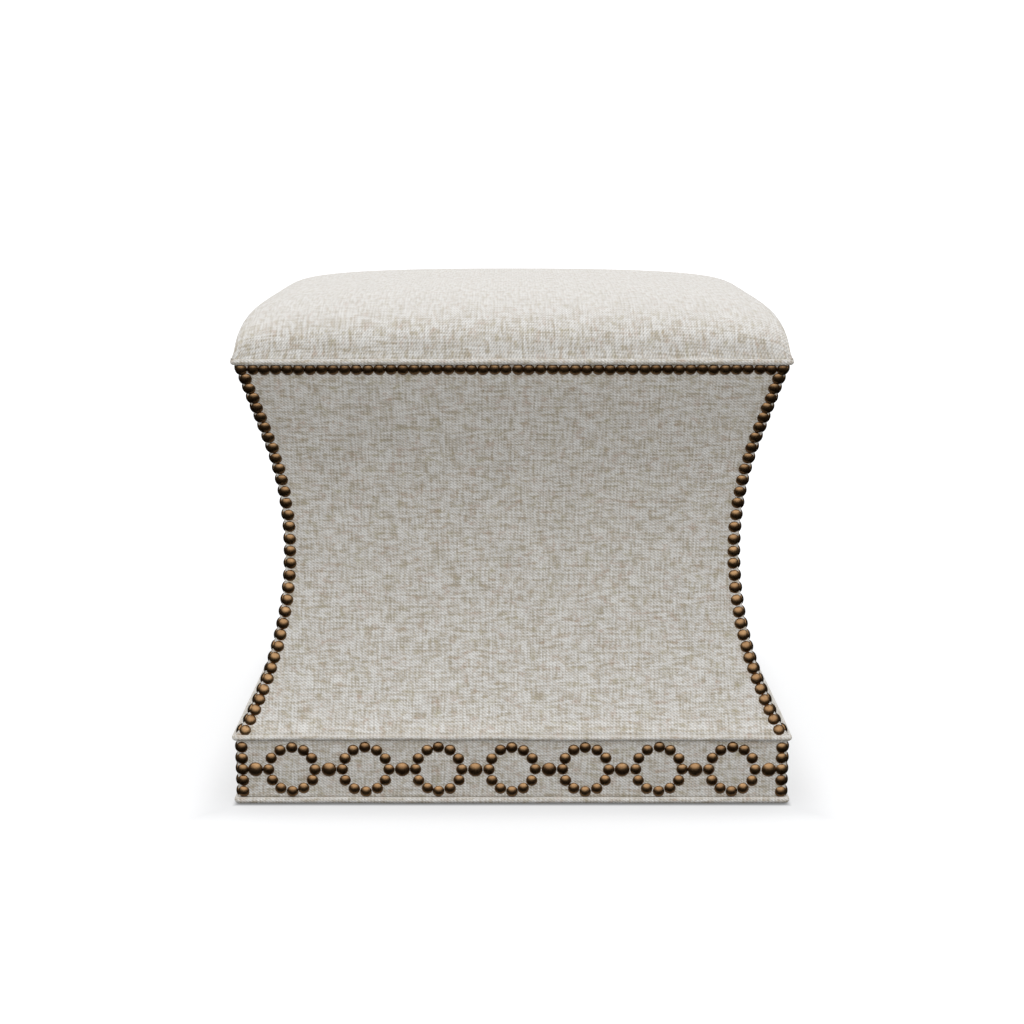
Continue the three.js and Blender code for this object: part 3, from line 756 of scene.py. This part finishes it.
def nail_heads(name, side, outline, marks):
    """One object with the heads at all the marks of a face."""
    # The cap of a sphere down to 48 degrees from its top, with a rim of 1 and a short skirt below
    dome = bmesh.new()
    bmesh.ops.create_uvsphere(dome, u_segments=18, v_segments=15, radius=1)
    rim = math.radians(48)
    below = [v for v in dome.verts if v.co.z < math.cos(rim) - 0.01]
    bmesh.ops.delete(dome, geom=below, context="VERTS")
    bmesh.ops.translate(dome, verts=dome.verts, vec=(0, 0, -math.cos(rim)))
    bmesh.ops.scale(dome, verts=dome.verts, vec=[1 / math.sin(rim)] * 3)
    pushed(dome, [edge for edge in dome.edges if len(edge.link_faces) == 1], (0, 0, -0.25))
    head = bpy.data.meshes.new("head")
    dome.to_mesh(head)
    dome.free()
    shape = bmesh.new()
    turn = Matrix.Rotation(SIDES.index(side) * quarter, 4, "Z")
    for across, climb, radius in marks:
        z, half, slope = outline(climb)
        normal = Vector((0, -1, -slope)).normalized()
        if outline is up_body:
            half += roll_over(climb)
        seat = Vector((across, -half, z)) - normal * HEAD_SUNK
        lean = Vector((hand.uniform(-1, 1), hand.uniform(-1, 1), 0)) * HEAD_LEAN
        tilt = normal.to_track_quat("Z", "Y").to_matrix().to_4x4()
        wobble = Matrix.Rotation(lean.x, 4, "X") @ Matrix.Rotation(lean.y, 4, "Y")
        size = Matrix.Diagonal((radius, radius, radius, 1))
        start = len(shape.verts)
        shape.from_mesh(head)
        shape.verts.ensure_lookup_table()
        bmesh.ops.transform(
            shape, matrix=turn @ Matrix.Translation(seat) @ tilt @ wobble @ size,
            verts=shape.verts[start:],
        )
    bpy.data.meshes.remove(head)
    piece = keep(shape, name, aged_brass)
    return piece


LINEN_THICK = 1.4 * MM
BAND_LOW = 7.2 * MM
BAND_HIGH = 61.4 * MM
BODY_LOW = climb_to(66.2 * MM)
BODY_HIGH = climb_to(401.6 * MM)
for side in SIDES:
    marks = band_marks()
    band = face_cloth(
        "band_linen_" + side, side, linen, up_band, BAND_LOW, BAND_HIGH, 200, 22, marks,
        LINEN_THICK, 0,
    )
    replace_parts(band, "plinth_band_" + side)
    nail_heads("band_nails_" + side, side, up_band, marks)
    marks = body_marks()
    panel = face_cloth(
        "body_linen_" + side, side, linen, up_body, BODY_LOW, BODY_HIGH, 120, 90, marks,
        LINEN_THICK, 0,
    )
    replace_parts(panel, "body_panel_" + side)
    nail_heads("body_nails_" + side, side, up_body, marks)


# Wadding under the body's linen
# A thin layer of polyester wadding, laid over the bent skins so that their edges don't show.
def wadding_finish():
    # Matted white fibres
    finish, tree, shader = start_finish("polyester_wadding", 1.0, 0.2)
    place = add_node(tree, "ShaderNodeTexCoord").outputs["Object"]
    fibre = noisy(tree, place, 4 * MM, 6, 1.5)
    paint(tree, shader, fibre, "#dcdad4", "#f7f6f2")
    emboss(tree, shader, fibre, 0.8, 0.8 * MM)
    return finish


wadding = wadding_finish()
WADDING_THICK = 4 * MM
UNDER_LINEN = 2.6 * MM
WADDING_LOW = climb_to(67.5 * MM)
WADDING_HIGH = climb_to(401 * MM)
for side in SIDES:
    layer = face_cloth(
        "body_wadding_" + side, side, wadding, up_body, WADDING_LOW, WADDING_HIGH, 30, 24, [],
        WADDING_THICK, UNDER_LINEN,
    )
    if side == "front":
        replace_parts(layer, "body_wadding")


# Webbing and hessian
# Jute webs woven over and under each other are stretched over the seat frame, and a sheet of
# hessian over them holds the foam.
def jute_finish(name, pale, dark, yarn):
    # Coarse plain weave with uneven yarns
    finish, tree, shader = start_finish(name, 0.95)
    place = add_node(tree, "ShaderNodeTexCoord").outputs["Object"]
    one_wave = 0.314  # pitch of the waves at a scale of 1
    across, along = [
        add_node(tree, "ShaderNodeTexWave", {
            "Vector": place, "Scale": one_wave / yarn, "Distortion": 1, "Detail": 2,
        }, bands_direction=way).outputs["Fac"]
        for way in ("X", "Y")
    ]
    weave = worked(tree, "MULTIPLY", across, along)
    paint(tree, shader, weave, dark, pale)
    emboss(tree, shader, weave, 0.6, 0.4 * MM)
    return finish


webbing = jute_finish("jute_webbing", "#c3a36b", "#7d6136", 1.6 * MM)
for i in range(1, 4):
    refinish("web_along_%d" % i, webbing)
    refinish("web_across_%d" % i, webbing)
refinish("hessian", jute_finish("hessian_cloth", "#b99a63", "#6f5530", 2.2 * MM))


# Cushion
# A block of foam under a layer of wadding, with linen drawn down over its sides and tacked under
# the rim piping. The plan is square at the rim and rounds off towards the crown, and the linen is
# drawn tighter over the front and back edges, which are rounder than the left and right ones.
CUSHION_HALF = 242.2 * MM
CUSHION_LOW = 407.5 * MM
CROWN_RISE = 53.0 * MM
SIDE_POWERS = 2.4, 7.4
FRONT_POWERS = 4.8, 2.7


def fall(share, powers):
    """What is left of the cushion's rise at a share of the way from its middle to an edge."""
    return (1 - min(1, abs(share)) ** powers[0]) ** (1 / powers[1])


def crown(x, y, half, rise):
    """Height of the cushion over its lower edge."""
    return rise * fall(x / half, SIDE_POWERS) * fall(y / half, FRONT_POWERS)


def crown_grid(half, rise, cells):
    """A sheet over the cushion's form, with finer cells towards its edges."""
    out = half * np.sin(np.linspace(0, math.pi / 2, 4000))
    walks = []
    for powers in (SIDE_POWERS, FRONT_POWERS):
        drop = np.array([rise * fall(step / half, powers) for step in out])
        walks.append(np.concatenate([[0], np.cumsum(np.hypot(np.diff(out), np.diff(drop)))]))
    shape = bmesh.new()
    bmesh.ops.create_grid(shape, x_segments=cells, y_segments=cells, size=1)
    for vert in shape.verts:
        x, y = [
            math.copysign(np.interp((1 - (1 - abs(share)) ** 1.3) * walk[-1], walk, out), share)
            for share, walk in zip(vert.co.xy, walks)
        ]
        vert.co = (x, y, CUSHION_LOW + crown(x, y, half, rise))
    return shape


def foam_finish():
    # Open-cell upholstery foam
    finish, tree, shader = start_finish("upholstery_foam", 0.95)
    place = add_node(tree, "ShaderNodeTexCoord").outputs["Object"]
    cells = add_node(tree, "ShaderNodeTexVoronoi", {"Vector": place, "Scale": 1 / (1.5 * MM)})
    paint(tree, shader, cells.outputs["Distance"], "#e9dcb0", "#c9b987")
    emboss(tree, shader, cells.outputs["Distance"], 0.7, 0.4 * MM, invert=True)
    return finish


FOAM_INSET = 8.1 * MM
shape = crown_grid(CUSHION_HALF - FOAM_INSET, CROWN_RISE - FOAM_INSET, 40)
border = [edge for edge in shape.edges if len(edge.link_faces) == 1]
bmesh.ops.contextual_create(shape, geom=border)
bmesh.ops.recalc_face_normals(shape, faces=shape.faces)
foam = keep(shape, "foam_block", foam_finish())
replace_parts(foam, "seat_foam")

WADDING_INSET = 4.0 * MM
shape = crown_grid(CUSHION_HALF - WADDING_INSET, CROWN_RISE - WADDING_INSET, 40)
bmesh.ops.solidify(shape, geom=shape.faces, thickness=WADDING_THICK)
layer = keep(shape, "cushion_wadding", wadding)
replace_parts(layer, "seat_wadding")

TACKED_RISE = 6 * MM


def swell(piece, start, cap):
    """Fills the cover from inside with simulated cloth held at its lower edge. It only ever swells
    outwards, and no point moves further than the cap."""
    held = piece.vertex_groups.new(name="tacked")
    held.add([i for i, p in enumerate(start) if p.z < CUSHION_LOW + TACKED_RISE], 1, "REPLACE")
    cloth = piece.modifiers.new("cloth", "CLOTH")
    cloth.settings.vertex_group_mass = "tacked"
    cloth.settings.use_pressure = True
    cloth.settings.uniform_pressure_force = 4
    cloth.settings.effector_weights.gravity = 0
    cloth.settings.quality = 6
    cloth.settings.tension_stiffness = 20
    cloth.settings.compression_stiffness = 20
    for moment in range(1, 21):
        bpy.context.scene.frame_set(moment)
    filled = piece.evaluated_get(bpy.context.evaluated_depsgraph_get())
    moved = [vert.co.copy() for vert in filled.data.vertices]
    piece.modifiers.remove(cloth)
    piece.vertex_groups.clear()
    bpy.context.scene.frame_set(1)
    out = [vert.normal.copy() for vert in piece.data.vertices]
    for vert, place, old, normal in zip(piece.data.vertices, moved, start, out):
        rise = min(max((place - old).dot(normal), 0), cap)
        vert.co = old + normal * rise


COVER_CELLS = 84
COVER_THICK = 1.5 * MM
COVER_SWELL = 0.7 * MM
FLARE_RISE = 9 * MM
FLARE_OUT = 1.9 * MM
EDGE_DROP = 0.9 * MM
shape = crown_grid(CUSHION_HALF, CROWN_RISE, COVER_CELLS)
# The cloth map is the distance walked over the cover from its middle. The linen is turned a quarter
# from how it lies on the body, so its rib leans the other way.
rows = COVER_CELLS + 1
middle_row = rows // 2
places = np.array([v.co for v in shape.verts]).reshape(rows, rows, 3)
walk_x = np.zeros((rows, rows))
walk_x[:, 1:] = np.cumsum(np.linalg.norm(np.diff(places, axis=1), axis=2), axis=1)
walk_x -= walk_x[:, middle_row:middle_row + 1]
walk_y = np.zeros((rows, rows))
walk_y[1:, :] = np.cumsum(np.linalg.norm(np.diff(places, axis=0), axis=2), axis=0)
walk_y -= walk_y[middle_row:middle_row + 1, :]
cloth_map = shape.loops.layers.uv.new("cloth")
for face in shape.faces:
    for loop in face.loops:
        i, j = divmod(loop.vert.index, rows)
        loop[cloth_map].uv = (-walk_y[i, j], walk_x[i, j])
# Its lower edge runs out over the rim piping.
for vert in shape.verts:
    low = max(0, 1 - (vert.co.z - CUSHION_LOW) / FLARE_RISE)
    vert.co.x *= 1 + FLARE_OUT / CUSHION_HALF * low * low
    vert.co.y *= 1 + FLARE_OUT / CUSHION_HALF * low * low
    if vert.is_boundary:
        vert.co.z -= EDGE_DROP
cover = keep(shape, "cushion_linen", linen)
swell(cover, [v.co.copy() for v in cover.data.vertices], COVER_SWELL)
smooth = cover.modifiers.new("finer_weave", "SUBSURF")
smooth.levels = 1
smooth.render_levels = 1
wall = cover.modifiers.new("cloth_thickness", "SOLIDIFY")
wall.thickness = COVER_THICK
wall.offset = -1
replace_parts(cover, "seat_cover")
